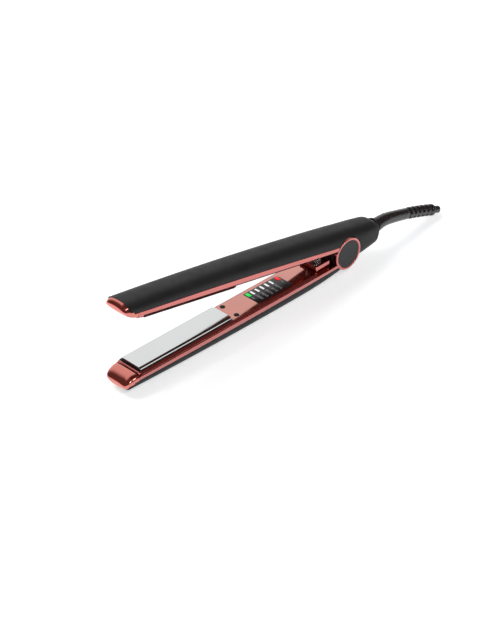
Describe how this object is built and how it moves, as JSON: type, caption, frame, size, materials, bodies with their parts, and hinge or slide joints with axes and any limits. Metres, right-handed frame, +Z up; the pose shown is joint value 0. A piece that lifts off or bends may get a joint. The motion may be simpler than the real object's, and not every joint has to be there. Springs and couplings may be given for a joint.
{
  "type": "hair straightening iron",
  "caption": "Hair straightening iron with two slim black arms, rose gold inner housings, floating heated plates, a spring hinge and a swivelling cord.",
  "frame": {"origin": "centre of the flat rest face on the underside of the lower arm", "axes": "+X runs back along the lower arm to the hinge and the cord, -Y is the side of the near hinge disc, +Z is up"},
  "size_m": [0.3779, 0.0282, 0.0838],
  "materials": {
    "shell_black": "soft-touch matte black",
    "copper_plate": "rose gold vacuum plating, mirror-like",
    "titanium": "satin titanium-coated plate",
    "carrier_black": "heat-resistant moulding",
    "gloss_black": "gloss black window",
    "disc_black": "fine-textured black disc",
    "screw_black": "black oxide",
    "light_white": "translucent light bar",
    "key_green": "translucent green",
    "key_red": "translucent red",
    "board_green": "circuit board",
    "led_white": "LED body",
    "switch_grey": "switch body",
    "aluminium": "extruded",
    "heater_ceramic": "fired ceramic strip",
    "bead": "glass-coated bead",
    "silicone": "silicone rubber",
    "wire_red": "silicone-covered lead",
    "steel": "turned steel",
    "bronze": "sintered bronze",
    "brass": "contact brass",
    "hub_black": "nylon",
    "cord_rubber": "moulded rubber",
    "copper_wire": "bare copper strands"
  },
  "bodies": {
    "lower_arm": {"lower_front_cover": "shell_black", "lower_handle_shell": "shell_black", "lower_housing": "copper_plate", "lower_tip_cap": "copper_plate", "lower_inner_panel": "copper_plate", "lower_panel_screws": "screw_black", "display_overlay": "gloss_black", "level_bars": "light_white", "control_board": "board_green", "level_leds": "led_white", "key_switches": "switch_grey", "lower_plate_carrier": "carrier_black", "lower_cushions": "silicone", "lower_leads": "wire_red", "hinge_pin": "steel", "hinge_screw": "steel", "near_hinge_disc": "disc_black", "far_hinge_disc": "disc_black", "opening_spring": "steel"},
    "green_key_cap": {"green_key": "key_green"},
    "red_key_cap": {"red_key": "key_red"},
    "lower_plate_unit": {"lower_plate": "titanium", "lower_heater_block": "aluminium", "lower_ceramic_heater": "heater_ceramic", "lower_thermistor": "bead"},
    "upper_arm": {"upper_front_cover": "shell_black", "upper_handle_shell": "shell_black", "upper_housing": "copper_plate", "upper_tip_cap": "copper_plate", "upper_inner_panel": "copper_plate", "upper_panel_screws": "screw_black", "upper_plate_carrier": "carrier_black", "upper_cushions": "silicone", "upper_leads": "wire_red", "thermal_fuse": "steel", "tail_cap": "shell_black", "hinge_bushes": "bronze", "swivel_collar": "shell_black", "contact_springs": "brass"},
    "upper_plate_unit": {"upper_plate": "titanium", "upper_heater_block": "aluminium", "upper_ceramic_heater": "heater_ceramic", "upper_thermistor": "bead"},
    "cord": {"swivel_hub": "hub_black", "slip_rings": "brass", "bend_relief": "cord_rubber", "cord_sheath": "cord_rubber", "cord_conductors": "copper_wire"}
  },
  "joints": [
    {"name": "arm_hinge", "type": "hinge", "parent": "lower_arm", "child": "upper_arm", "pos_m": [0.088, 0, 0.0199], "axis": [0, -1, 0], "range_deg": [0, 11], "stiffness_Nm_per_rad": 1, "springref_deg": -20.05, "deforming": ["opening_spring"]},
    {"name": "lower_plate_float", "type": "slide", "parent": "lower_arm", "child": "lower_plate_unit", "axis": [0, 0, -1], "range_m": [0, 0.0008], "stiffness_N_per_m": 15000, "deforming": ["lower_cushions"]},
    {"name": "upper_plate_float", "type": "slide", "parent": "upper_arm", "child": "upper_plate_unit", "axis": [0.1908, 0, 0.9816], "range_m": [0, 0.0008], "stiffness_N_per_m": 15000, "deforming": ["upper_cushions"]},
    {"name": "green_key_press", "type": "slide", "parent": "lower_arm", "child": "green_key_cap", "axis": [0, 0, -1], "range_m": [0, 0.0004], "stiffness_N_per_m": 3000},
    {"name": "red_key_press", "type": "slide", "parent": "lower_arm", "child": "red_key_cap", "axis": [0, 0, -1], "range_m": [0, 0.0004], "stiffness_N_per_m": 3000},
    {"name": "cord_swivel", "type": "hinge", "parent": "upper_arm", "child": "cord", "pos_m": [0.13212, 0, 0.02151], "axis": [0.9816, 0, -0.1908], "continuous": true}
  ]
}
